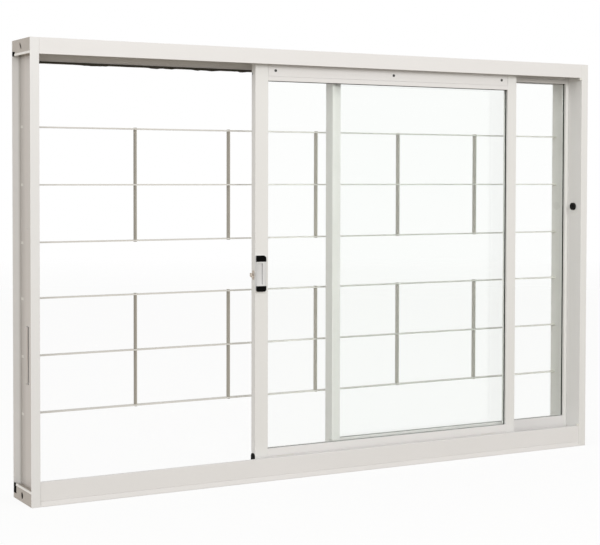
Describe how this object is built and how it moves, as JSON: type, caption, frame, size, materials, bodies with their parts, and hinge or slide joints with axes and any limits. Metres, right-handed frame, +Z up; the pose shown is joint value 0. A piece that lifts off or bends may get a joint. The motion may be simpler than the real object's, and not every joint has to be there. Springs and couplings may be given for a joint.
{
  "type": "sliding window with security bars",
  "caption": "Sliding window in a deep lacquered frame: one fixed and one sliding glazed leaf in front of a flat-bar security grille, with a thumb latch.",
  "frame": {"origin": "middle of the window's footprint, on the surface the sill stands on", "axes": "+X along the window to the right seen from the room, +Y from the room to the outside, +Z up"},
  "size_m": [1.5, 0.125, 1],
  "materials": {
    "white_lacquer": "satin powder coat on extruded aluminium",
    "bar_lacquer": "satin powder coat on flat bar",
    "black_rubber": "matt",
    "black_nylon": "moulded",
    "white_nylon": "moulded",
    "clear_glass": "polished float glass",
    "grey_plastic": "moulded",
    "zinc_steel": "zinc plated",
    "cast_zinc": "lacquered die casting",
    "grey_pile": "woven pile"
  },
  "bodies": {
    "frame": {"left_jamb": "white_lacquer", "right_jamb": "white_lacquer", "head": "white_lacquer", "sill": "white_lacquer", "top_left_corner_plate": "white_lacquer", "top_right_corner_plate": "white_lacquer", "bottom_left_corner_plate": "white_lacquer", "bottom_right_corner_plate": "white_lacquer", "masonry_straps": "white_lacquer", "fixed_meeting_stile": "white_lacquer", "fixed_outer_stile": "white_lacquer", "fixed_top_rail": "white_lacquer", "fixed_bottom_rail": "white_lacquer", "grille_bar_1": "bar_lacquer", "grille_bar_2": "bar_lacquer", "grille_bar_3": "bar_lacquer", "grille_bar_4": "bar_lacquer", "grille_bar_5": "bar_lacquer", "grille_bar_6": "bar_lacquer", "upper_upright_1": "bar_lacquer", "upper_upright_2": "bar_lacquer", "upper_upright_3": "bar_lacquer", "upper_upright_4": "bar_lacquer", "upper_upright_5": "bar_lacquer", "lower_upright_1": "bar_lacquer", "lower_upright_2": "bar_lacquer", "lower_upright_3": "bar_lacquer", "lower_upright_4": "bar_lacquer", "lower_upright_5": "bar_lacquer", "head_sealing_strip": "black_rubber", "jamb_bumper": "black_rubber", "fixed_gasket": "black_rubber", "setting_blocks": "black_nylon", "bar_bushes": "white_nylon", "corner_blocks": "white_nylon", "fixed_glass": "clear_glass", "frame_corner_screws": "zinc_steel", "strike_screws": "zinc_steel", "fixed_leaf_screws": "zinc_steel", "strike_plate": "zinc_steel"},
    "sliding_leaf": {"latch_stile": "white_lacquer", "sliding_meeting_stile": "white_lacquer", "sliding_top_rail": "white_lacquer", "sliding_bottom_rail": "white_lacquer", "sliding_glass": "clear_glass", "sliding_gasket": "black_rubber", "sliding_leaf_screws": "zinc_steel", "top_guides": "black_nylon", "top_guide_screws": "zinc_steel", "roller_housings": "white_nylon", "roller_axles": "zinc_steel", "pile_seals": "grey_pile", "sill_guide": "black_nylon", "latch_base": "grey_plastic", "latch_end_caps": "black_nylon", "latch_screws": "zinc_steel"},
    "left_wheel": {"left_wheel": "white_nylon"},
    "right_wheel": {"right_wheel": "white_nylon"},
    "latch_bolt": {"latch_slider": "grey_plastic", "latch_hook": "cast_zinc"}
  },
  "joints": [
    {"name": "leaf_slide", "type": "slide", "parent": "frame", "child": "sliding_leaf", "axis": [1, 0, 0], "range_m": [-0.5175, 0.19]},
    {"name": "left_wheel_spin", "type": "hinge", "parent": "sliding_leaf", "child": "left_wheel", "pos_m": [-0.13, -0.0325, 0.047], "axis": [0, 1, 0], "continuous": true},
    {"name": "right_wheel_spin", "type": "hinge", "parent": "sliding_leaf", "child": "right_wheel", "pos_m": [0.4535, -0.0325, 0.047], "axis": [0, 1, 0], "continuous": true},
    {"name": "latch_slide", "type": "slide", "parent": "sliding_leaf", "child": "latch_bolt", "axis": [0, 0, 1], "range_m": [0, 0.0042]}
  ],
  "couplings": [
    {"joint": "left_wheel_spin", "follows": "leaf_slide", "rad_per_m": 111.11},
    {"joint": "right_wheel_spin", "follows": "leaf_slide", "rad_per_m": 111.11}
  ]
}
